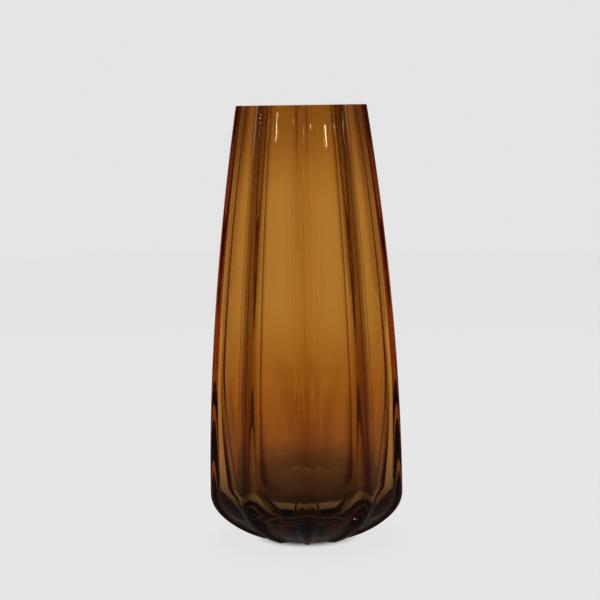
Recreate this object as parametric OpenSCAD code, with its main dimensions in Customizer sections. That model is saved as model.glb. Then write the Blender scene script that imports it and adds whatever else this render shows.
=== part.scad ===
// Hand blown art glass vase, in millimetres, standing on the XY plane with its axis on Z.
// Three gathers of glass lie one inside the other: a smooth bubble, a heavy bottom gather
// and an outer casing that was blown into a mould with ten ribs.

/* [Body] */
// Height from the table to the cut rim
height = 350; // [300:5:400]
// Radius over the smooth panels at the widest level
belly_r = 77.2; // [70:0.2:90]
// Height of the widest level above the table
belly_z = 42; // [38:1:55]
// Radius over the smooth panels at the rim
rim_r = 51.1; // [44:0.1:60]
// How late the side starts to draw in, where 2 is a parabola
taper_power = 1.85; // [1.6:0.05:2.4]

/* [Ribs] */
// Number of ribs around the vase
rib_count = 10; // [8:1:13]
// How far a rib stands out from the panels on the side
rib_h = 3.4; // [1.5:0.1:5]
// How far a rib stands below the panels where it ends at the foot
rib_end_h = 6; // [1.5:0.1:7]
// Width of a rib where it leaves the panels, in degrees around the axis
rib_span = 17; // [12:0.5:22]

/* [Foot] */
// Radius where the side has turned right under
turn_r = 39.5; // [39:0.5:46]
// How early the side turns under, where 1 is a quarter ellipse and 2 a parabola
turn_power = 1.8; // [1:0.05:2]
// Outer radius of the ground foot ring
ring_r = 27; // [25:0.5:36.5]
// Inner radius of the ground foot ring
ring_inner_r = 21; // [19:0.5:24.5]
// Depth of the shallow hollow under the base
hollow_h = 2.5; // [1.5:0.25:3.5]

/* [Gathers] */
// Casing thickness at the panels
casing_t = 2.8; // [2:0.1:4]
// Bubble thickness above the bottom gather
bubble_t = 2.4; // [2:0.1:4]
// Thickness of the bottom gather at its upper edge
lap_t = 1; // [0.8:0.1:1.2]
// Height of the upper edge of the bottom gather
lap_z = 140; // [110:5:170]
// Thickness of the bottom gather where the cavity turns in to its floor
heel_t = 9; // [6:0.5:10]
// How slowly the bottom gather thickens down from its edge, where 1 is an even wedge
heel_power = 1.6; // [1:0.1:2]
// Height of the cavity floor at its middle
floor_z = 29; // [26:0.5:34]
// Bubble thickness under the cavity floor
floor_t = 3; // [2:0.1:4]
// Thickness of the casing where it ends at the foot ring
casing_end_h = 4.5; // [3.5:0.25:6]

/* [Hidden] */

$fn = 96;
rib_steps = 12;
side_steps = 12;
turn_steps = 8;
heel_steps = 8;
around = rib_count * rib_steps;
step_angle = 360 / around;
front_angle = -90;
past = 1;
core_r = 15;
floor_r = 34;
floor_turn_z = belly_z + 8;

// Height of one level of the side, counted down from the rim.
function side_z(i) = height - (height - belly_z) * i / side_steps;

// Radius over the panels at a height above the widest level.
function panel_r(z) =
    belly_r - (belly_r - rim_r) * pow((z - belly_z) / (height - belly_z), taper_power);

// How far a rib stands out at an angle, from 0 on a panel to 1 on a rib's crest.
function rib_share(angle) =
    let (pitch = 360 / rib_count)
    let (off = abs(angle - pitch * round(angle / pitch)))
    off < rib_span / 2 ? pow(cos(180 * off / rib_span), 2) : 0;

// The curve by which a wall turns under, as points from the side to the bottom.
function turned(side_r, side_z, end_r, end_z, power) = [
    for (i = [1:turn_steps])
        let (a = 90 * i / turn_steps)
        [end_r + (side_r - end_r) * pow(cos(a), power), side_z - (side_z - end_z) * sin(a)]
];

// One ring of the moulded surface on the side, where ribs stand out level.
function side_ring(i) = [
    for (k = [0:around - 1])
        let (a = k * step_angle)
        let (r = panel_r(side_z(i)) + rib_h * rib_share(a))
        [r * cos(a + front_angle), r * sin(a + front_angle), side_z(i)]
];

// One ring of the moulded surface on the turn, where ribs stand out square to it and sink.
function turn_ring(i) =
    let (h = rib_h + (rib_end_h - rib_h) * i / turn_steps)
    let (wide = belly_r - turn_r)
    let (deep = belly_z - rib_end_h)
    let (t = 90 * i / turn_steps)
    let (out = [deep * pow(cos(t), 2 - turn_power), -turn_power * wide * sin(t)])
    let (normal = out / norm(out))
    let (panel = [turn_r + wide * pow(cos(t), turn_power), belly_z - deep * sin(t)])
    [
        for (k = [0:around - 1])
            let (a = k * step_angle)
            let (p = panel + h * rib_share(a) * normal)
            [p.x * cos(a + front_angle), p.x * sin(a + front_angle), p.y]
    ];

// A plain round ring.
function round_ring(r, z) = [
    for (k = [0:around - 1])
        let (a = k * step_angle + front_angle)
        [r * cos(a), r * sin(a), z]
];

// The moulded surface from the rim to the ground foot, thickened inwards to a plain core.
// The casing's inside is cut from it, so the core only has to be narrower than that.
module moulded_block() {
    rings = [
        for (i = [0:side_steps]) side_ring(i),
        for (i = [1:turn_steps]) turn_ring(i),
        round_ring(ring_r, 0),
        round_ring(core_r, 0),
        round_ring(core_r, height)
    ];
    count = len(rings);
    faces = [
        for (i = [0:count - 1])
            for (k = [0:around - 1])
                let (below = (i + 1) % count)
                let (next = (k + 1) % around)
                let (a = i * around + k)
                let (b = i * around + next)
                let (c = below * around + next)
                let (d = below * around + k)
                each [[a, b, c], [a, c, d]]
    ];
    polyhedron([for (ring = rings) each ring], faces);
}

// Points down the side at a depth below the panels, from one height to a lower one.
function side_line(depth, high_z, low_z, steps) = [
    for (i = [0:steps])
        let (z = high_z - (high_z - low_z) * i / steps)
        [panel_r(z) - depth, z]
];

// Outline of the block that the casing wraps, from the rim to the foot ring.
function wrapped_line() =
    let (below = side_line(casing_t, lap_z, belly_z, heel_steps))
    concat(
        side_line(casing_t, height, lap_z, side_steps),
        [for (i = [1:heel_steps]) below[i]],
        turned(belly_r - casing_t, belly_z, ring_inner_r, casing_end_h, turn_power)
    );

// Thickness of the bottom gather at a height between its upper edge and the cavity's turn.
function heel(z) =
    lap_t + (heel_t - lap_t) * pow((lap_z - z) / (lap_z - floor_turn_z), heel_power);

// Points down the bottom gather's inner face, or a face that lies deeper by a given amount.
function heel_line(deeper) = [
    for (i = [0:heel_steps])
        let (z = lap_z - (lap_z - floor_turn_z) * i / heel_steps)
        [panel_r(z) - casing_t - heel(z) - deeper, z]
];

// Outline of the bubble, with the ledge where the bottom gather laps over it.
function bubble_line() =
    let (turn_in = panel_r(floor_turn_z) - casing_t - heel_t)
    concat(
        side_line(casing_t, height, lap_z, side_steps),
        heel_line(0),
        turned(turn_in, floor_turn_z, floor_r, floor_z - floor_t, 1),
        [[0, floor_z - floor_t]]
    );

// Outline of the cavity, from the rim to the middle of its floor.
function cavity_line() =
    let (under_lap_t = bubble_t - lap_t)
    let (below = heel_line(under_lap_t))
    concat(
        side_line(casing_t + bubble_t, height, lap_z, side_steps),
        [for (i = [1:heel_steps]) below[i]],
        turned(below[heel_steps].x, floor_turn_z, floor_r, floor_z, 1),
        [[0, floor_z]]
    );

module ribbed_casing() {
    line = wrapped_line();
    slope = (line[0].x - line[1].x) / (line[0].y - line[1].y);
    color("#9a5a1c")
    difference() {
        moulded_block();
        rotate_extrude()
        polygon(concat(
            [[0, height + past], [line[0].x + slope * past, height + past]],
            [for (i = [1:len(line) - 1]) line[i]],
            [[ring_inner_r, -past], [0, -past]]
        ));
    }
}

// The heavy gather at the bottom, with the shallow hollow that keeps it off the table.
module base_gather() {
    hollow_ball_r = (pow(ring_inner_r, 2) + pow(hollow_h, 2)) / (2 * hollow_h);
    outer = [for (p = wrapped_line()) if (p.y < lap_z) p];
    inner = [for (p = bubble_line()) if (p.y < lap_z) p];
    color("#3a1c0c")
    difference() {
        rotate_extrude()
        polygon(concat(
            [[panel_r(lap_z) - casing_t, lap_z]],
            outer,
            [[ring_inner_r, 0], [0, 0]],
            [for (i = [len(inner) - 1:-1:0]) inner[i]],
            [[panel_r(lap_z) - casing_t - lap_t, lap_z]]
        ));
        translate([0, 0, hollow_h - hollow_ball_r])
        sphere(hollow_ball_r);
    }
}

module inner_bubble() {
    cavity = cavity_line();
    color("#c07a2c")
    rotate_extrude()
    polygon(concat(
        bubble_line(),
        [for (i = [len(cavity) - 1:-1:0]) cavity[i]]
    ));
}

ribbed_casing();
base_gather();
inner_bubble();
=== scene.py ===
"""Hand blown art glass vase: three fused gathers of glass on a pale studio floor."""
import math

import bpy
from bpy.props import FloatProperty, FloatVectorProperty, IntProperty, PointerProperty
from mathutils import Matrix, Vector


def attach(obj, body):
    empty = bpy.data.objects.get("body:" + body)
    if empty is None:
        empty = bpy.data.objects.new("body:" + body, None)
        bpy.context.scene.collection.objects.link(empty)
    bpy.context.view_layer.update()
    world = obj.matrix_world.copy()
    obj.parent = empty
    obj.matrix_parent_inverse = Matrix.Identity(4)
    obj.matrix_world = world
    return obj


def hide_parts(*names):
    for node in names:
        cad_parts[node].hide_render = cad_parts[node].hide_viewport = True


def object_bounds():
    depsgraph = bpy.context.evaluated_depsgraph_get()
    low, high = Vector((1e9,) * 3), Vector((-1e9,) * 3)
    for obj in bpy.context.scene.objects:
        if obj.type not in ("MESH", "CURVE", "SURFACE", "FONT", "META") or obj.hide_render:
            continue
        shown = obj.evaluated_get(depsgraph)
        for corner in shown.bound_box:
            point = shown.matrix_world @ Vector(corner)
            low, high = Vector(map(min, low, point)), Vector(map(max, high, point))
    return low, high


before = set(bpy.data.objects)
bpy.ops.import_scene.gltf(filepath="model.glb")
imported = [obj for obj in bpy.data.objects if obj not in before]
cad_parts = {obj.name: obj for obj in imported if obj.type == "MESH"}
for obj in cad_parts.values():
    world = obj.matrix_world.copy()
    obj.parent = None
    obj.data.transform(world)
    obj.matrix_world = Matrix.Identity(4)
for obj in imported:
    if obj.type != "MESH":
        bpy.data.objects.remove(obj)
CAD_LOW, CAD_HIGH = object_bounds()

bl_info = {
    "name": "Hand blown glass vase",
    "version": (1, 0, 0),
    "blender": (4, 5, 0),
    "location": "3D View > Sidebar > Vase",
    "description": "Models a ribbed hand blown glass vase as three fused gathers of glass",
    "category": "Add Mesh",
}

MM = 0.001
FULL_TURN = 2 * math.pi
FRONT = -math.pi / 2

# The largest rib height that the CAD's box leaves room for over the belly
RIB_HEIGHT = 3.4 * MM
# Columns of faces around the ribbed casing, the buried gather and the smooth bubble
CASING_COLUMNS = 600
GATHER_COLUMNS = 300
BUBBLE_COLUMNS = 360
# Rings of faces between the turn's end and the ground foot ring, and across the hollow
UNDER_STEPS = 6
HOLLOW_STEPS = 8
WELD = 0.002 * MM
SMOOTH_ANGLE = math.radians(40)

# How the mould's ribs came out by hand: their lean, and their share of full height
RIB_DRIFT = math.radians(0.25)
RIB_SHARE = 0.945
RIB_SHARE_SPREAD = 0.025
RIM_FADE = 0.05
RIM_FADE_START = 0.55

# The bottom gather's wavy edge and inner face: size, waves around the vase, start angle
LAP_EDGE = 108 * MM
EDGE_WAVES = ((8 * MM, 3, 0.6), (5 * MM, 7, 1.9))
FACE_WAVES = ((0.3, 4, 1.1), (0.2, 9, 0))
FACE_WAVE_DEPTH = 0.5 * MM
THINNEST_LAP = 0.05 * MM

# Refraction of a face against air and of a face that is fused to another gather
AIR_IOR = 1.5
FUSED_IOR = 1.0
SIDE_ATTRIBUTE = "glass_side"
WHITE = (1, 1, 1, 1)
SMOKE = (0.68, 0.52, 0.45, 1)
# The painted shade on a rib, which stands in for the dark band that the rib shows by refraction: its
# share of the rib's span, the share of that with full colour, and how much narrower than at one level in
# between it is at the foot and at the rim
RIB_SHADE_SPAN = 0.9
RIB_SHADE_CREST = 0.2
RIB_SHADE_NARROWER = (1.15, 0.72)
# Distances aside from the axis at which the painted rib shade sets in and fades out again
RIB_SHADE_SETS_IN = (10 * MM, 28 * MM)
RIB_SHADE_LEAST = 0.07
RIB_SHADE_FADES_OUT = (52 * MM, 66 * MM)
# Frequency of the uneven glass across and along the axis, and the noise levels that show
CORD_SCALE = (90, 90, 5)
CORD_EDGES = (0.3, 0.7)
WISP_SCALE = (55, 55, 9)
WISP_SHIFT = (0.3, 0, 0.4)
WISP_EDGES = (0.45, 0.65)
# Heights between which the smoky wisps come and go, with their strength
WISP_LEVELS = ((25 * MM, 0.0), (80 * MM, 1.0), (105 * MM, 1.0), (145 * MM, 0.0))

# Brightness of the studio's cloths at some bearings, in degrees to the right of straight behind
CLOTHS = ((-180, 0.3), (-120, 0.5), (-60, 0.5), (-45, 0.85), (-24, 0.8), (-10, 1.0), (8, 1.0),
          (22, 0.72), (45, 0.65), (60, 0.4), (120, 0.35), (180, 0.3))
# Mirrored light sees the cloths only in directions further behind and higher than these shares
BEHIND_SHARE = 0.76
LOW_SHARE = -0.1
# Directions' upward share between which the room's light goes from one value to the other
ROOM_SLOPE = (-0.3, 0.0)
ROOM_LIGHT = (0.09, 0.05)
# Reach and glow of the shade under the foot, and the floor's glow as a share of the backdrop's
FOOT_SHADE = (22 * MM, 44 * MM)
FOOT_SHADE_GLOW = 0.02
FLOOR_GLOW = 0.96
FLOOR_RADIUS = 3.0
FLOOR_DROP = 0.1 * MM
TOP_LAMP_PLACE = (0, 0.2, 1.9)
TOP_LAMP_AIM = (0, 0, 0.2)
TOP_LAMP_SIZE = 1.2
TOP_LAMP_POWER = 12
# Bearing to the right of the camera, rise, width and height of the small lamps round the camera
SMALL_LAMPS = ((-56, 14.5, 0.03, 0.12), (-43, 15, 0.03, 0.14), (-3, 12.5, 0.03, 0.12),
               (41, 13.5, 0.03, 0.07), (48, 16, 0.03, 0.06), (58, 14.5, 0.03, 0.08))
SMALL_LAMP_DISTANCE = 2
SMALL_LAMP_POWER = 0.35
SMALL_LAMP_COLOUR = (1, 0.8, 0.55)
# Two tiny lamps under the floor, which only mirrored light passes, for glints on the rib ends
GLINT_LAMPS = ((-0.1, -0.25, -0.5), (0.06, -0.2, -0.5))
GLINT_LAMP_SIZE = 0.01
GLINT_LAMP_POWER = 0.02
LIGHT_BOUNCES = 40


class VaseShape(bpy.types.PropertyGroup):
    """Sizes of the blown body, its ribs, its foot and its three gathers."""

    height: FloatProperty(
        name="Height", description="From the table to the cut rim",
        default=CAD_HIGH.z, subtype="DISTANCE", unit="LENGTH")
    belly_radius: FloatProperty(
        name="Belly radius", description="Over the smooth panels at the widest level",
        default=CAD_HIGH.y - RIB_HEIGHT, subtype="DISTANCE", unit="LENGTH")
    belly_height: FloatProperty(
        name="Belly height", description="Height of the widest level above the table",
        default=42 * MM, subtype="DISTANCE", unit="LENGTH")
    rim_radius: FloatProperty(
        name="Rim radius", description="Over the smooth panels at the rim",
        default=51.1 * MM, subtype="DISTANCE", unit="LENGTH")
    taper_power: FloatProperty(
        name="Taper power", description="How late the side draws in, where 2 is a parabola",
        default=1.85, min=1.2, max=3)
    rib_count: IntProperty(
        name="Ribs", description="Number of ribs around the vase", default=10, min=4, max=20)
    rib_height: FloatProperty(
        name="Rib height", description="How far a rib stands out from the panels",
        default=RIB_HEIGHT, subtype="DISTANCE", unit="LENGTH")
    rib_end_height: FloatProperty(
        name="Rib end height", description="How far a rib stands out where it ends at the foot",
        default=6 * MM, subtype="DISTANCE", unit="LENGTH")
    rib_span: FloatProperty(
        name="Rib span", description="Angle that a rib takes up around the axis",
        default=math.radians(17), subtype="ANGLE", unit="ROTATION")
    turn_radius: FloatProperty(
        name="Turn radius", description="Radius where the side has turned right under",
        default=39.5 * MM, subtype="DISTANCE", unit="LENGTH")
    turn_power: FloatProperty(
        name="Turn power", description="How early the side turns under: 1 an ellipse, 2 a parabola",
        default=1.8, min=1, max=2)
    ring_radius: FloatProperty(
        name="Foot ring radius", description="Outer radius of the ground foot ring",
        default=27 * MM, subtype="DISTANCE", unit="LENGTH")
    ring_inner_radius: FloatProperty(
        name="Foot ring inner radius", description="Inner radius of the ground foot ring",
        default=21 * MM, subtype="DISTANCE", unit="LENGTH")
    hollow_depth: FloatProperty(
        name="Hollow depth", description="Depth of the shallow hollow under the base",
        default=2.5 * MM, subtype="DISTANCE", unit="LENGTH")
    casing_wall: FloatProperty(
        name="Casing wall", description="Casing thickness at the panels",
        default=2.8 * MM, subtype="DISTANCE", unit="LENGTH")
    casing_end: FloatProperty(
        name="Casing end", description="Casing thickness where it ends at the foot ring",
        default=4.5 * MM, subtype="DISTANCE", unit="LENGTH")
    bubble_wall: FloatProperty(
        name="Bubble wall", description="Bubble thickness above the bottom gather",
        default=2.4 * MM, subtype="DISTANCE", unit="LENGTH")
    lap_wall: FloatProperty(
        name="Lap wall", description="Bottom gather thickness at its upper edge",
        default=1 * MM, subtype="DISTANCE", unit="LENGTH")
    lap_height: FloatProperty(
        name="Lap height", description="Height of the bottom gather's upper edge",
        default=140 * MM, subtype="DISTANCE", unit="LENGTH")
    heel_wall: FloatProperty(
        name="Heel wall", description="Bottom gather thickness where the cavity turns in to its floor",
        default=9 * MM, subtype="DISTANCE", unit="LENGTH")
    heel_power: FloatProperty(
        name="Heel power", description="How slowly the bottom gather thickens down from its edge",
        default=1.6, min=1, max=3)
    floor_height: FloatProperty(
        name="Cavity floor", description="Height of the cavity floor at its middle",
        default=29 * MM, subtype="DISTANCE", unit="LENGTH")
    floor_wall: FloatProperty(
        name="Cavity floor wall", description="Bubble thickness under the cavity floor",
        default=3 * MM, subtype="DISTANCE", unit="LENGTH")
    floor_radius: FloatProperty(
        name="Cavity floor radius", description="Radius of the flat middle of the cavity floor",
        default=34 * MM, subtype="DISTANCE", unit="LENGTH")
    floor_turn: FloatProperty(
        name="Cavity turn", description="Height at which the cavity's wall begins to turn in",
        default=50 * MM, subtype="DISTANCE", unit="LENGTH")
    seam_gap: FloatProperty(
        name="Seam gap", description="Clearance kept between two fused faces",
        default=0.03 * MM, subtype="DISTANCE", unit="LENGTH")
    rim_softness: FloatProperty(
        name="Rim softness", description="Width of the polished edge of the cut rim",
        default=0.5 * MM, subtype="DISTANCE", unit="LENGTH")


class VaseGlass(bpy.types.PropertyGroup):
    """Colours of the glass."""

    amber_clarity: FloatVectorProperty(
        name="Amber clarity", description="Share of red, green and blue light left after 1 mm of amber",
        default=(0.982, 0.955, 0.894), subtype="COLOR", size=3, min=0, max=1)
    base_clarity: FloatVectorProperty(
        name="Base clarity", description="Share of light left after 1 mm of the dark base glass",
        default=(0.988, 0.984, 0.988), subtype="COLOR", size=3, min=0, max=1)
    rim_tint: FloatVectorProperty(
        name="Rim tint", description="Colour of the amber at the rim",
        default=(0.62, 0.41, 0.17), subtype="COLOR", size=3, min=0, max=1)
    body_tint: FloatVectorProperty(
        name="Body tint", description="Colour of the amber halfway up, where it is lightest",
        default=(0.845, 0.635, 0.335), subtype="COLOR", size=3, min=0, max=1)
    lap_tint: FloatVectorProperty(
        name="Lap tint", description="Colour of the amber over the edge of the bottom gather",
        default=(0.70, 0.43, 0.14), subtype="COLOR", size=3, min=0, max=1)
    floor_tint: FloatVectorProperty(
        name="Floor tint", description="Colour of the amber just above the cavity floor",
        default=(0.62, 0.37, 0.19), subtype="COLOR", size=3, min=0, max=1)
    heel_tint: FloatVectorProperty(
        name="Heel tint", description="Colour of the amber at the heavy heel",
        default=(0.2, 0.155, 0.11), subtype="COLOR", size=3, min=0, max=1)
    foot_tint: FloatVectorProperty(
        name="Foot tint", description="Colour of the amber at the foot",
        default=(0.10, 0.12, 0.11), subtype="COLOR", size=3, min=0, max=1)
    # Colour of the painted shade on the ribs, which stands in for the dark bands that the ribs show by
    # refraction
    rib_shade_tint: FloatVectorProperty(
        name="Rib tint", description="Share of light left where the amber gathers in a rib",
        default=(0.24, 0.15, 0.10), subtype="COLOR", size=3, min=0, max=1)
    smoke_tint: FloatVectorProperty(
        name="Smoke tint", description="Colour of the smoky bottom gather",
        default=(0.95, 0.92, 0.9), subtype="COLOR", size=3, min=0, max=1)


class VaseStudio(bpy.types.PropertyGroup):
    """The camera, the light and the pale backdrop."""

    camera_distance: FloatProperty(
        name="Camera distance", description="From the lens to the vase's axis",
        default=1.5, subtype="DISTANCE", unit="LENGTH")
    camera_height: FloatProperty(
        name="Camera height", description="Height of the lens above the table",
        default=0.35, subtype="DISTANCE", unit="LENGTH")
    camera_pitch: FloatProperty(
        name="Camera pitch", description="How far the camera looks down",
        default=math.radians(5.95), subtype="ANGLE", unit="ROTATION")
    camera_roll: FloatProperty(
        name="Camera roll", description="How far the camera leans",
        default=math.radians(-0.83), subtype="ANGLE", unit="ROTATION")
    camera_yaw: FloatProperty(
        name="Camera yaw", description="How far the camera turns from the axis",
        default=math.radians(0.12), subtype="ANGLE", unit="ROTATION")
    lens: FloatProperty(
        name="Lens", description="Focal length on a 36 mm sensor, in millimetres", default=112.3)
    backdrop: FloatProperty(
        name="Backdrop", description="Brightness of the pale backdrop", default=0.78, min=0, max=2)


# ---------------------------------------------------------------- outlines

def panel_radius(shape, z):
    """Radius over the smooth panels at a height above the widest level."""
    rise = max(0.0, (z - shape.belly_height) / (shape.height - shape.belly_height))
    return shape.belly_radius - (shape.belly_radius - shape.rim_radius) * rise ** shape.taper_power


def side_line(shape, depth, high, low, steps):
    """Points (radius, height) down the side at a depth below the panels."""
    levels = [high - (high - low) * i / steps for i in range(steps + 1)]
    return [(panel_radius(shape, z) - depth, z) for z in levels]


def heel(shape, z):
    """Thickness of the bottom gather between its upper edge and the cavity's turn."""
    share = max(0.0, shape.lap_height - z) / (shape.lap_height - shape.floor_turn)
    return shape.lap_wall + (shape.heel_wall - shape.lap_wall) * share ** shape.heel_power


def heel_line(shape, deeper, high, steps):
    """Points down the bottom gather's inner face, or a face deeper by a given amount."""
    levels = [high - (high - shape.floor_turn) * i / steps for i in range(steps + 1)]
    return [(panel_radius(shape, z) - shape.casing_wall - heel(shape, z) - deeper, z) for z in levels]


def turned(side, end, steps, power=1.0):
    """The curve by which a wall turns under, after the side and down to the end."""
    points = []
    for i in range(1, steps + 1):
        angle = math.pi / 2 * i / steps
        points.append((end[0] + (side[0] - end[0]) * max(0.0, math.cos(angle)) ** power,
                       side[1] - (side[1] - end[1]) * math.sin(angle)))
    return points


def rounded(corner, before, after, radius, steps=4):
    """An arc in place of a corner between two points, for a polished edge."""
    corner, before, after = Vector(corner), Vector(before), Vector(after)
    start = corner + (before - corner).normalized() * radius
    end = corner + (after - corner).normalized() * radius
    arc = []
    for i in range(steps + 1):
        t = i / steps
        point = start * (1 - t) ** 2 + corner * 2 * t * (1 - t) + end * t ** 2
        arc.append((point.x, point.y))
    return arc


# ---------------------------------------------------------------- modelling by hand

def deselect_all():
    """Leaves edit mode and selects nothing."""
    if bpy.context.object and bpy.context.object.mode != "OBJECT":
        bpy.ops.object.mode_set(mode="OBJECT")
    bpy.ops.object.select_all(action="DESELECT")


def lathe(name, outline, columns):
    """Draws an outline point by point from one vertex and turns it once round the axis."""
    deselect_all()
    bpy.ops.mesh.primitive_plane_add(size=MM)
    piece = bpy.context.active_object
    piece.name = piece.data.name = name
    bpy.ops.object.mode_set(mode="EDIT")
    bpy.ops.mesh.select_all(action="SELECT")
    bpy.ops.mesh.merge(type="CENTER")
    radius, height = outline[0]
    bpy.ops.transform.translate(value=(radius, 0, height))
    for before, after in zip(outline, outline[1:]):
        step = (after[0] - before[0], 0, after[1] - before[1])
        bpy.ops.mesh.extrude_vertices_move(TRANSFORM_OT_translate={"value": step})
    bpy.ops.object.mode_set(mode="OBJECT")
    bpy.ops.object.modifier_add(type="SCREW")
    turn = piece.modifiers[-1]
    turn.axis = "Z"
    turn.angle = FULL_TURN
    turn.steps = turn.render_steps = columns
    turn.use_merge_vertices = True
    turn.merge_threshold = WELD
    bpy.ops.object.modifier_apply(modifier=turn.name)
    bpy.ops.object.mode_set(mode="EDIT")
    bpy.ops.mesh.select_all(action="SELECT")
    bpy.ops.mesh.remove_doubles(threshold=WELD)
    bpy.ops.mesh.delete_loose()
    bpy.ops.mesh.select_all(action="SELECT")
    bpy.ops.mesh.normals_make_consistent(inside=False)
    bpy.ops.object.mode_set(mode="OBJECT")
    return piece


def make_active(piece):
    """Selects one piece alone and makes it the active object."""
    deselect_all()
    piece.select_set(True)
    bpy.context.view_layer.objects.active = piece


def raise_by_weight(piece, name, strength, weight_of):
    """Pushes the surface out along its normals, as far as weight_of(point) says."""
    make_active(piece)
    group = piece.vertex_groups.new(name=name)
    for vertex in piece.data.vertices:
        weight = weight_of(vertex.co)
        if weight > 0:
            group.add([vertex.index], weight, "REPLACE")
    bpy.ops.object.modifier_add(type="DISPLACE")
    modifier = piece.modifiers[-1]
    modifier.direction = "NORMAL"
    modifier.mid_level = 0
    modifier.strength = strength
    modifier.vertex_group = group.name
    bpy.ops.object.modifier_apply(modifier=modifier.name)
    bpy.ops.object.vertex_group_remove(all=True)


def select_vertices(piece, wanted):
    """Selects the vertices for which wanted(point) holds, and leaves the piece in edit mode."""
    make_active(piece)
    bpy.ops.object.mode_set(mode="EDIT")
    bpy.ops.mesh.select_mode(type="VERT")
    bpy.ops.mesh.select_all(action="DESELECT")
    bpy.ops.object.mode_set(mode="OBJECT")
    for vertex in piece.data.vertices:
        vertex.select = wanted(vertex.co)
    bpy.ops.object.mode_set(mode="EDIT")


def mark_fused_faces(piece, is_fused):
    """Writes each face's refractive index: glass against air, or none where it is fused."""
    mesh = piece.data
    side = mesh.attributes.new(SIDE_ATTRIBUTE, "FLOAT", "FACE")
    for face in mesh.polygons:
        side.data[face.index].value = FUSED_IOR if is_fused(face.center) else AIR_IOR


def finish_piece(piece, node, material):
    """Shades a piece, gives it its glass, hangs it under the root body, and hides the CAD node that it
    takes the place of.
    """
    make_active(piece)
    bpy.ops.object.shade_smooth_by_angle(angle=SMOOTH_ANGLE)
    piece.data.materials.clear()
    piece.data.materials.append(material)
    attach(piece, "root")
    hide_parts(node)


# ---------------------------------------------------------------- ribs

def rib_variation(index, z, shape):
    """How far a rib leans from its place at a height, and its share of full height there."""
    climb = z / shape.height
    drift = RIB_DRIFT * math.sin(2.1 * index + 2.6 * climb)
    share = RIB_SHARE + RIB_SHARE_SPREAD * math.cos(1.7 * index + 1.3)
    fade = 1 - RIM_FADE * max(0.0, climb - RIM_FADE_START) / (1 - RIM_FADE_START)
    return drift, share * fade


def rib_weight(point, shape):
    """Share of the full rib height at a point of the moulded surface."""
    radius = math.hypot(point.x, point.y)
    if radius < shape.ring_radius + MM:
        return 0.0
    pitch = FULL_TURN / shape.rib_count
    angle = math.atan2(point.y, point.x) - FRONT
    index = round(angle / pitch)
    drift, share = rib_variation(index % shape.rib_count, point.z, shape)
    off = abs(angle - index * pitch - drift)
    if off >= shape.rib_span / 2:
        return 0.0
    growth = 1.0
    if point.z < shape.belly_height:
        low = (shape.belly_height - point.z) / shape.belly_height
        turn = math.asin(min(1.0, low)) / (math.pi / 2)
        growth = 1 + (shape.rib_end_height / shape.rib_height - 1) * turn
    if radius < shape.turn_radius - 0.1 * MM:
        slope = math.atan2(shape.rib_end_height, shape.turn_radius - shape.ring_radius)
        growth = max(0.0, point.z) / shape.rib_height * math.cos(slope)
    return share * growth * math.cos(math.pi * off / shape.rib_span) ** 2


# ---------------------------------------------------------------- shader nodes

def add_node(tree, kind, values=None, **settings):
    """A node with its settings, whose inputs get plain values or other nodes' outputs."""
    node = tree.nodes.new(kind)
    for name, setting in settings.items():
        setattr(node, name, setting)
    for key, value in (values or {}).items():
        if isinstance(value, bpy.types.NodeSocket):
            tree.links.new(value, node.inputs[key])
        else:
            node.inputs[key].default_value = value
    return node


def calculated(tree, operation, *values):
    """The result of one operation on values or outputs."""
    return add_node(tree, "ShaderNodeMath", dict(enumerate(values)), operation=operation).outputs["Value"]


def mapped(tree, value, start, end, low=0.0, high=1.0, smooth=False):
    """A value carried from one range into another and held inside it."""
    values = {"Value": value, "From Min": start, "From Max": end, "To Min": low, "To Max": high}
    kind = "SMOOTHSTEP" if smooth else "LINEAR"
    return add_node(tree, "ShaderNodeMapRange", values, interpolation_type=kind).outputs["Result"]


def mixed(tree, factor, first, second, blend="MIX"):
    """Two colours mixed by a factor."""
    values = {"Factor": factor, "A": first, "B": second}
    return add_node(tree, "ShaderNodeMix", values, data_type="RGBA", blend_type=blend).outputs["Result"]


def graded(tree, value, stops, interpolation="LINEAR"):
    """A colour that goes through stops, each a share from 0 to 1 and a colour."""
    node = add_node(tree, "ShaderNodeValToRGB", {"Fac": value})
    ramp = node.color_ramp
    ramp.interpolation = interpolation
    ramp.elements.remove(ramp.elements[1])
    for i, (share, colour) in enumerate(stops):
        stop = ramp.elements[0] if i == 0 else ramp.elements.new(share)
        stop.position = share
        stop.color = (*colour, 1)
    return node.outputs["Color"]


def drawn_out_noise(tree, point, scale, detail, shift=(0, 0, 0)):
    """Noise drawn out along the axis, as blowing draws out uneven glass."""
    stretch = add_node(tree, "ShaderNodeMapping", {"Vector": point, "Location": shift, "Scale": scale})
    values = {"Vector": stretch.outputs["Vector"], "Scale": 1.0, "Detail": detail}
    return add_node(tree, "ShaderNodeTexNoise", values).outputs["Fac"]


# ---------------------------------------------------------------- glass

def per_mm(clarity):
    """Absorption colour and density, per metre, that leave this share of light after 1 mm."""
    loss = [-math.log(channel) / MM for channel in clarity]
    density = max(loss)
    return [1 - value / density for value in loss], density


def amber_levels(shades, height):
    """The amber's colour at some heights: deep at the rim and at the foot, light in between."""
    return [(0, shades.foot_tint), (32 * MM, shades.heel_tint), (68 * MM, shades.floor_tint),
            (112 * MM, shades.lap_tint), (190 * MM, shades.body_tint), (270 * MM, shades.body_tint),
            (height, shades.rim_tint)]


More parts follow.
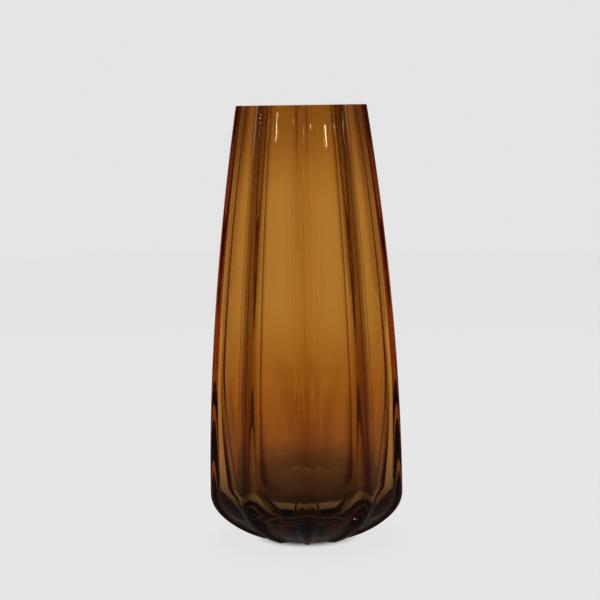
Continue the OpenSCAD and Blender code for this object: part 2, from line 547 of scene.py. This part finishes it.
def painted_rib_shade(tree, point, shape, tint):
    """Painted shade on the ribs, standing in for the dark bands that they show by refraction, most of all
    on the ribs at the sides.
    """
    axes = add_node(tree, "ShaderNodeSeparateXYZ", {"Vector": point}).outputs
    bearing = calculated(tree, "ARCTAN2", axes["X"], axes["Y"])
    off = calculated(tree, "PINGPONG", bearing, math.pi / shape.rib_count)
    narrower = mapped(tree, axes["Z"], 0.0, shape.height, *RIB_SHADE_NARROWER)
    half_width = RIB_SHADE_SPAN * shape.rib_span / 2
    crest = mapped(tree, calculated(tree, "MULTIPLY", off, narrower),
                   half_width, RIB_SHADE_CREST * half_width, smooth=True)
    # The painted shade is faint on the ribs facing front and back, and gone near the outline
    aside = calculated(tree, "ABSOLUTE", axes["X"])
    beside_front = mapped(tree, aside, *RIB_SHADE_SETS_IN, RIB_SHADE_LEAST, smooth=True)
    inside_edge = mapped(tree, aside, *reversed(RIB_SHADE_FADES_OUT), smooth=True)
    flank = calculated(tree, "MULTIPLY", beside_front, inside_edge)
    return mixed(tree, calculated(tree, "MULTIPLY", crest, flank), WHITE, (*tint, 1))


def smoke_wisps(tree, point, height):
    """Upright wisps of darker glass that rise out of the bottom gather."""
    noise = drawn_out_noise(tree, point, WISP_SCALE, 1.0, WISP_SHIFT)
    wisp = mapped(tree, noise, *WISP_EDGES, smooth=True)
    axes = add_node(tree, "ShaderNodeSeparateXYZ", {"Vector": point}).outputs
    climb = mapped(tree, axes["Z"], 0.0, height)
    strength = graded(tree, climb, [(z / height, (share,) * 3) for z, share in WISP_LEVELS])
    return mixed(tree, calculated(tree, "MULTIPLY", wisp, strength), WHITE, SMOKE)


def glass(name, clarity, levels, height, streak, darkened=None):
    """Clear coloured glass with faint upright cords, absorbing light through its depth.

    Only the faces against air refract and carry the tint, which darkened(tree, point) deepens.
    """
    material = bpy.data.materials.new(name)
    material.use_nodes = True
    tree = material.node_tree
    shader = tree.nodes["Principled BSDF"]
    shader.inputs["Transmission Weight"].default_value = 1.0
    shader.inputs["Roughness"].default_value = 0.0
    shader.inputs["IOR"].default_value = AIR_IOR

    point = add_node(tree, "ShaderNodeTexCoord").outputs["Object"]
    axes = add_node(tree, "ShaderNodeSeparateXYZ", {"Vector": point}).outputs
    climb = mapped(tree, axes["Z"], 0.0, height)
    tint = graded(tree, climb, [(z / height, colour) for z, colour in levels], "EASE")
    if darkened:
        tint = mixed(tree, 1.0, tint, darkened(tree, point), "MULTIPLY")
    cords = mapped(tree, drawn_out_noise(tree, point, CORD_SCALE, 2.0), *CORD_EDGES, 1 - streak)
    tint = mixed(tree, 1.0, tint, cords, "MULTIPLY")

    side = add_node(tree, "ShaderNodeAttribute", attribute_name=SIDE_ATTRIBUTE).outputs["Fac"]
    open_face = mapped(tree, side, FUSED_IOR, AIR_IOR)
    tree.links.new(side, shader.inputs["IOR"])
    tree.links.new(mixed(tree, open_face, WHITE, tint), shader.inputs["Base Color"])

    colour, density = per_mm(clarity)
    volume = add_node(tree, "ShaderNodeVolumeAbsorption", {"Color": (*colour, 1), "Density": density})
    tree.links.new(volume.outputs["Volume"], tree.nodes["Material Output"].inputs["Volume"])
    return material


# ---------------------------------------------------------------- the three gathers

class VASE_OT_ribbed_casing(bpy.types.Operator):
    """Blow the outer casing into its ribbed mould, with the cut rim and the ground foot ring"""

    bl_idname = "vase.ribbed_casing"
    bl_label = "Ribbed casing"

    def execute(self, context):
        shape = context.scene.vase_shape
        side = side_line(shape, 0, shape.height, shape.belly_height, steps=48)
        turn_end = (shape.turn_radius, shape.rib_end_height)
        turn = turned(side[-1], turn_end, steps=22, power=shape.turn_power)
        outside = lathe("ribbed_casing_glass", side + turn + foot_line(shape), CASING_COLUMNS)
        raise_by_weight(outside, "ribs", shape.rib_height, lambda point: rib_weight(point, shape))
        rim = shape.height - shape.rim_softness
        select_vertices(outside, lambda point: point.z > rim)
        bpy.ops.transform.resize(value=(1, 1, 0), center_override=(0, 0, shape.height))
        select_vertices(outside, lambda point: point.z < 0)
        bpy.ops.transform.resize(value=(1, 1, 0), center_override=(0, 0, 0))

        depth = shape.casing_wall - shape.seam_gap
        wall = side_line(shape, depth, shape.height, shape.belly_height, steps=30)
        sunk = 2 * MM
        wall[0] = (wall[0][0], shape.height - sunk)
        end = (shape.ring_inner_radius + shape.seam_gap, shape.casing_end - shape.seam_gap)
        wall += turned(wall[-1], end, steps=16, power=shape.turn_power)
        inside = lathe("casing_inside", wall, CASING_COLUMNS)

        deselect_all()
        inside.select_set(True)
        outside.select_set(True)
        context.view_layer.objects.active = outside
        bpy.ops.object.join()
        select_vertices(outside, lambda point: point.z > rim or is_sunk(point, shape, sunk))
        bpy.ops.mesh.bridge_edge_loops()
        select_vertices(outside, lambda point: is_sunk(point, shape, sunk))
        bpy.ops.transform.translate(value=(0, 0, sunk))
        low_end = shape.ring_inner_radius + 2 * shape.seam_gap
        select_vertices(outside, lambda point: math.hypot(point.x, point.y) < low_end)
        bpy.ops.mesh.bridge_edge_loops()
        bpy.ops.mesh.select_all(action="SELECT")
        bpy.ops.mesh.normals_make_consistent(inside=False)

        polish_rim(outside, shape)
        bpy.ops.object.mode_set(mode="OBJECT")

        def is_fused(centre):
            radius = math.hypot(centre.x, centre.y)
            if radius < low_end:
                return True
            if centre.z > shape.height - shape.seam_gap / 2:
                return False
            return radius < casing_middle(shape, centre.z)

        mark_fused_faces(outside, is_fused)
        shades = context.scene.vase_glass
        # The casing's amber carries painted shade on its ribs
        amber = glass(
            "amber_casing_glass", shades.amber_clarity, amber_levels(shades, shape.height),
            shape.height, streak=0.05,
            darkened=lambda tree, point: painted_rib_shade(tree, point, shape, shades.rib_shade_tint))
        finish_piece(outside, "ribbed_casing", amber)
        return {"FINISHED"}


def foot_line(shape):
    """Points in from the turn's end to the inside of the ground foot ring."""
    run = shape.turn_radius - shape.ring_radius
    points = []
    for i in range(1, UNDER_STEPS + 1):
        radius = shape.turn_radius - run * i / UNDER_STEPS
        points.append((radius, shape.rib_end_height * (radius - shape.ring_radius) / run))
    points.append((shape.ring_inner_radius + shape.seam_gap, 0))
    return points


def is_sunk(point, shape, sunk):
    """True on the top ring of the casing's inside while it is still sunk below the rim."""
    return abs(point.z - shape.height + sunk) < MM / 2


def turn_radius_at(shape, z, side_radius, end_radius, end_height):
    """Radius of a wall at a height where it turns under."""
    share = min(1.0, (shape.belly_height - z) / (shape.belly_height - end_height))
    return end_radius + (side_radius - end_radius) * math.sqrt(1 - share * share) ** shape.turn_power


def casing_middle(shape, z):
    """A radius inside the casing's wall at a height, to tell its two faces apart."""
    if z >= shape.belly_height:
        return panel_radius(shape, z) - shape.casing_wall / 2
    outer = turn_radius_at(shape, z, shape.belly_radius, shape.turn_radius, shape.rib_end_height)
    inner = turn_radius_at(shape, z, shape.belly_radius - shape.casing_wall,
                           shape.ring_inner_radius, shape.casing_end)
    return (outer + inner) / 2


def polish_rim(piece, shape):
    """Rounds the outer edge of the cut rim a little."""
    outer = shape.rim_radius - shape.casing_wall / 2
    top = shape.height - shape.seam_gap / 2

    def on_rim(point):
        return point.z > top and math.hypot(point.x, point.y) > outer

    select_vertices(piece, on_rim)
    bpy.ops.mesh.bevel(offset=shape.rim_softness, offset_type="OFFSET", segments=3, profile=0.5)


class VASE_OT_base_gather(bpy.types.Operator):
    """Gather the heavy dark glass of the bottom, with its wavy upper edge and shallow hollow"""

    bl_idname = "vase.base_gather"
    bl_label = "Base gather"

    def execute(self, context):
        shape = context.scene.vase_shape
        gap = shape.seam_gap
        top = shape.lap_height - gap
        outer = side_line(shape, shape.casing_wall + gap, top, shape.belly_height, steps=16)
        end = (shape.ring_inner_radius - gap, shape.casing_end + gap)
        outer += turned(outer[-1], end, steps=18, power=shape.turn_power)
        hollow = []
        for i in range(HOLLOW_STEPS + 1):
            radius = end[0] * (1 - i / HOLLOW_STEPS)
            share = radius / shape.ring_inner_radius
            hollow.append((radius, shape.hollow_depth * (1 - share ** 2)))
        bottom = (shape.floor_radius, shape.floor_height - shape.floor_wall - gap)
        inner = heel_line(shape, -gap, top, steps=20)
        inner += turned(inner[-1], bottom, steps=14)
        inner.append((0, bottom[1]))
        outline = outer + hollow + inner[::-1]
        outline.append(outer[0])
        piece = lathe("base_gather_glass", outline, GATHER_COLUMNS)
        raise_by_weight(piece, "waves", -1, lambda point: lap_thinning(point, shape))

        def is_fused(centre):
            radius = math.hypot(centre.x, centre.y)
            return radius >= shape.ring_inner_radius - 2 * gap or centre.z >= shape.hollow_depth + MM

        mark_fused_faces(piece, is_fused)
        shades = context.scene.vase_glass
        levels = [(0, shades.smoke_tint), (60 * MM, shades.smoke_tint), (125 * MM, (1, 1, 1))]
        dark = glass("dark_base_glass", shades.base_clarity, levels, shape.height, streak=0.04)
        finish_piece(piece, "base_gather", dark)
        return {"FINISHED"}


def waves(angle, parts):
    """Sum of sine waves around the vase."""
    return sum(size * math.sin(count * angle + start) for size, count, start in parts)


def lap_thinning(point, shape):
    """How much thinner the lap was drawn than its mould line, in metres, on its inner face."""
    radius = math.hypot(point.x, point.y)
    thickness = heel(shape, point.z)
    middle = panel_radius(shape, point.z) - shape.casing_wall - thickness / 2
    if point.z < shape.floor_turn or radius > middle:
        return 0.0
    angle = math.atan2(point.y, point.x)
    edge = LAP_EDGE + waves(angle, EDGE_WAVES)
    feather = max(0.0, min(1.0, (point.z - edge) / (shape.lap_height - edge)))
    rise = (point.z - shape.floor_turn) / (shape.lap_height - shape.floor_turn)
    hump = min(1.0, 4 * rise * (1 - rise))
    wave = 0.5 + waves(angle, FACE_WAVES)
    thinner = 0.9 * feather * thickness + FACE_WAVE_DEPTH * wave * hump
    return min(thinner, thickness - THINNEST_LAP)


class VASE_OT_inner_bubble(bpy.types.Operator):
    """Blow the smooth inner bubble, from the cavity floor to the inside of the rim"""

    bl_idname = "vase.inner_bubble"
    bl_label = "Inner bubble"

    def execute(self, context):
        shape = context.scene.vase_shape
        gap = shape.seam_gap
        depth = shape.casing_wall + gap
        outer = side_line(shape, depth, shape.height, shape.lap_height + gap, steps=24)
        outer += heel_line(shape, gap, shape.lap_height + gap, steps=20)
        bottom_z = shape.floor_height - shape.floor_wall + gap
        outer += turned(outer[-1], (shape.floor_radius, bottom_z), steps=14)
        outer.append((0, bottom_z))

        inside_depth = shape.casing_wall + shape.bubble_wall
        thinned = shape.bubble_wall - shape.lap_wall
        cavity = side_line(shape, inside_depth, shape.height, shape.lap_height, steps=30)
        cavity += heel_line(shape, thinned, shape.lap_height, steps=20)[1:]
        wall_radius = cavity[-1][0]
        cavity += turned(cavity[-1], (shape.floor_radius, shape.floor_height), steps=18)
        cavity.append((0, shape.floor_height))
        corner = rounded(cavity[0], outer[0], cavity[1], shape.rim_softness)
        piece = lathe("inner_bubble_glass", outer[::-1] + corner + cavity[1:], BUBBLE_COLUMNS)

        def is_fused(centre):
            radius = math.hypot(centre.x, centre.y)
            if centre.z > shape.height - shape.rim_softness:
                return False
            if centre.z > shape.lap_height:
                return radius > panel_radius(shape, centre.z) - (depth + inside_depth) / 2
            if centre.z > shape.floor_turn:
                deep = shape.casing_wall + heel(shape, centre.z) + thinned / 2
                return radius > panel_radius(shape, centre.z) - deep
            if centre.z < shape.floor_height - gap:
                return True
            share = (shape.floor_turn - centre.z) / (shape.floor_turn - shape.floor_height)
            bend = math.sqrt(max(0.0, 1 - share * share))
            cavity_radius = shape.floor_radius + (wall_radius - shape.floor_radius) * bend
            return radius > cavity_radius + 0.4 * MM

        mark_fused_faces(piece, is_fused)
        shades = context.scene.vase_glass
        amber = glass(
            "amber_lining_glass", shades.amber_clarity, amber_levels(shades, shape.height),
            shape.height, streak=0.04,
            darkened=lambda tree, point: smoke_wisps(tree, point, shape.height))
        finish_piece(piece, "inner_bubble", amber)
        return {"FINISHED"}


# ---------------------------------------------------------------- studio

def soft_world(studio):
    """A pale studio: bright cloth behind the vase, and darker cloths at the sides and in front."""
    world = bpy.data.worlds.new("studio")
    bpy.context.scene.world = world
    world.use_nodes = True
    tree = world.node_tree
    background = tree.nodes["Background"]
    background.inputs["Strength"].default_value = studio.backdrop
    direction = add_node(tree, "ShaderNodeTexCoord").outputs["Generated"]
    axes = add_node(tree, "ShaderNodeSeparateXYZ", {"Vector": direction}).outputs
    bearing = calculated(tree, "ARCTAN2", axes["X"], axes["Y"])
    stops = [((degrees + 180) / 360, (value,) * 3) for degrees, value in CLOTHS]
    cloths = graded(tree, mapped(tree, bearing, -math.pi, math.pi), stops)

    # Mirrored light finds the room around the cloths, which is nearly dark
    ray = add_node(tree, "ShaderNodeLightPath").outputs
    not_behind = calculated(tree, "LESS_THAN", axes["Y"], BEHIND_SHARE)
    below = calculated(tree, "LESS_THAN", axes["Z"], LOW_SHARE)
    room = calculated(tree, "MAXIMUM", not_behind, below)
    mirrored = calculated(tree, "MULTIPLY", room, ray["Is Reflection Ray"])
    room_light = mapped(tree, axes["Z"], *ROOM_SLOPE, *ROOM_LIGHT)
    light = mixed(tree, mirrored, cloths, room_light)
    seen = mixed(tree, ray["Is Camera Ray"], light, WHITE)
    tree.links.new(seen, background.inputs["Color"])


def pale_floor(studio):
    """A round pale floor that glows like the backdrop, and is dark only where the vase stands."""
    deselect_all()
    bpy.ops.mesh.primitive_circle_add(
        vertices=128, radius=FLOOR_RADIUS, fill_type="NGON", location=(0, 0, 0))
    floor = bpy.context.active_object
    floor.name = "studio_floor"
    bpy.ops.object.mode_set(mode="EDIT")
    bpy.ops.mesh.select_all(action="SELECT")
    bpy.ops.transform.translate(value=(0, 0, -FLOOR_DROP))
    bpy.ops.object.mode_set(mode="OBJECT")
    material = bpy.data.materials.new("pale_floor")
    material.use_nodes = True
    tree = material.node_tree
    shader = tree.nodes["Principled BSDF"]
    shader.inputs["Base Color"].default_value = (0.12, 0.12, 0.12, 1)
    shader.inputs["Roughness"].default_value = 0.9
    shader.inputs["Specular IOR Level"].default_value = 0.0
    shader.inputs["Emission Color"].default_value = WHITE
    point = add_node(tree, "ShaderNodeTexCoord").outputs["Object"]
    reach = add_node(tree, "ShaderNodeVectorMath", {0: point}, operation="LENGTH").outputs["Value"]
    full_glow = studio.backdrop * FLOOR_GLOW
    glow = mapped(tree, reach, *FOOT_SHADE, FOOT_SHADE_GLOW, full_glow, smooth=True)
    tree.links.new(glow, shader.inputs["Emission Strength"])
    floor.data.materials.append(material)
    floor.visible_glossy = False
    return floor


def soft_lamp(name, place, aim, width, height, power, colour=(1, 1, 1)):
    """A soft rectangular lamp at a place, turned to what it lights."""
    deselect_all()
    bpy.ops.object.light_add(type="AREA", location=place)
    lamp = bpy.context.active_object
    lamp.name = name
    lamp.data.shape = "RECTANGLE"
    lamp.data.size = width
    lamp.data.size_y = height
    lamp.data.energy = power
    lamp.data.color = colour
    lamp.rotation_euler = (Vector(aim) - Vector(place)).to_track_quat("-Z", "Y").to_euler()
    return lamp


def studio_camera(studio):
    """The camera, at the height of the rim and looking a little down."""
    deselect_all()
    bpy.ops.object.camera_add()
    camera = bpy.context.active_object
    camera.name = "studio_camera"
    camera.data.sensor_width = 36
    camera.data.lens = studio.lens
    camera.data.clip_start = 0.05
    camera.data.clip_end = 50
    turn = (Matrix.Rotation(studio.camera_yaw, 4, "Z")
            @ Matrix.Rotation(math.pi / 2 - studio.camera_pitch, 4, "X")
            @ Matrix.Rotation(studio.camera_roll, 4, "Z"))
    place = Matrix.Translation((0, -studio.camera_distance, studio.camera_height))
    camera.matrix_world = place @ turn
    bpy.context.scene.camera = camera
    return camera


class VASE_OT_studio(bpy.types.Operator):
    """Set up the pale floor, the soft light and the camera"""

    bl_idname = "vase.studio"
    bl_label = "Studio"

    def execute(self, context):
        scene = context.scene
        studio = scene.vase_studio
        shape = scene.vase_shape
        soft_world(studio)
        floor = pale_floor(studio)
        top = soft_lamp("top_lamp", TOP_LAMP_PLACE, TOP_LAMP_AIM,
                        TOP_LAMP_SIZE, TOP_LAMP_SIZE, TOP_LAMP_POWER)
        rim = (0, 0, shape.height)
        for i, (bearing, rise, width, tall) in enumerate(SMALL_LAMPS):
            angle = math.radians(bearing)
            place = (SMALL_LAMP_DISTANCE * math.sin(angle), -SMALL_LAMP_DISTANCE * math.cos(angle),
                     shape.height + SMALL_LAMP_DISTANCE * math.tan(math.radians(rise)))
            soft_lamp(f"small_lamp_{i}", place, rim, width, tall,
                                   SMALL_LAMP_POWER, SMALL_LAMP_COLOUR)
        for i, place in enumerate(GLINT_LAMPS):
            soft_lamp(f"glint_lamp_{i}", place, (0, 0, 0),
                                   GLINT_LAMP_SIZE, GLINT_LAMP_SIZE, GLINT_LAMP_POWER)
        camera = studio_camera(studio)
        scene.view_settings.view_transform = "Standard"
        scene.cycles.max_bounces = LIGHT_BOUNCES
        scene.cycles.transmission_bounces = LIGHT_BOUNCES
        scene.cycles.glossy_bounces = LIGHT_BOUNCES
        scene.cycles.transparent_max_bounces = LIGHT_BOUNCES
        scene.cycles.use_denoising = True
        return {"FINISHED"}


class VASE_PT_panel(bpy.types.Panel):
    """The vase's sizes, colours and pieces"""

    bl_label = "Hand blown vase"
    bl_idname = "VASE_PT_panel"
    bl_space_type = "VIEW_3D"
    bl_region_type = "UI"
    bl_category = "Vase"

    def draw(self, context):
        scene = context.scene
        for group in (scene.vase_shape, scene.vase_glass, scene.vase_studio):
            box = self.layout.box()
            for name in group.__annotations__:
                box.prop(group, name)
        for operator in OPERATORS:
            self.layout.operator(operator.bl_idname)


OPERATORS = (VASE_OT_ribbed_casing, VASE_OT_base_gather, VASE_OT_inner_bubble, VASE_OT_studio)
CLASSES = (VaseShape, VaseGlass, VaseStudio, *OPERATORS, VASE_PT_panel)


def register():
    for cls in CLASSES:
        bpy.utils.register_class(cls)
    bpy.types.Scene.vase_shape = PointerProperty(type=VaseShape)
    bpy.types.Scene.vase_glass = PointerProperty(type=VaseGlass)
    bpy.types.Scene.vase_studio = PointerProperty(type=VaseStudio)


def unregister():
    del bpy.types.Scene.vase_studio
    del bpy.types.Scene.vase_glass
    del bpy.types.Scene.vase_shape
    for cls in reversed(CLASSES):
        bpy.utils.unregister_class(cls)


def main():
    register()
    bpy.ops.vase.ribbed_casing()
    bpy.ops.vase.base_gather()
    bpy.ops.vase.inner_bubble()
    bpy.ops.vase.studio()


if __name__ == "__main__":
    main()
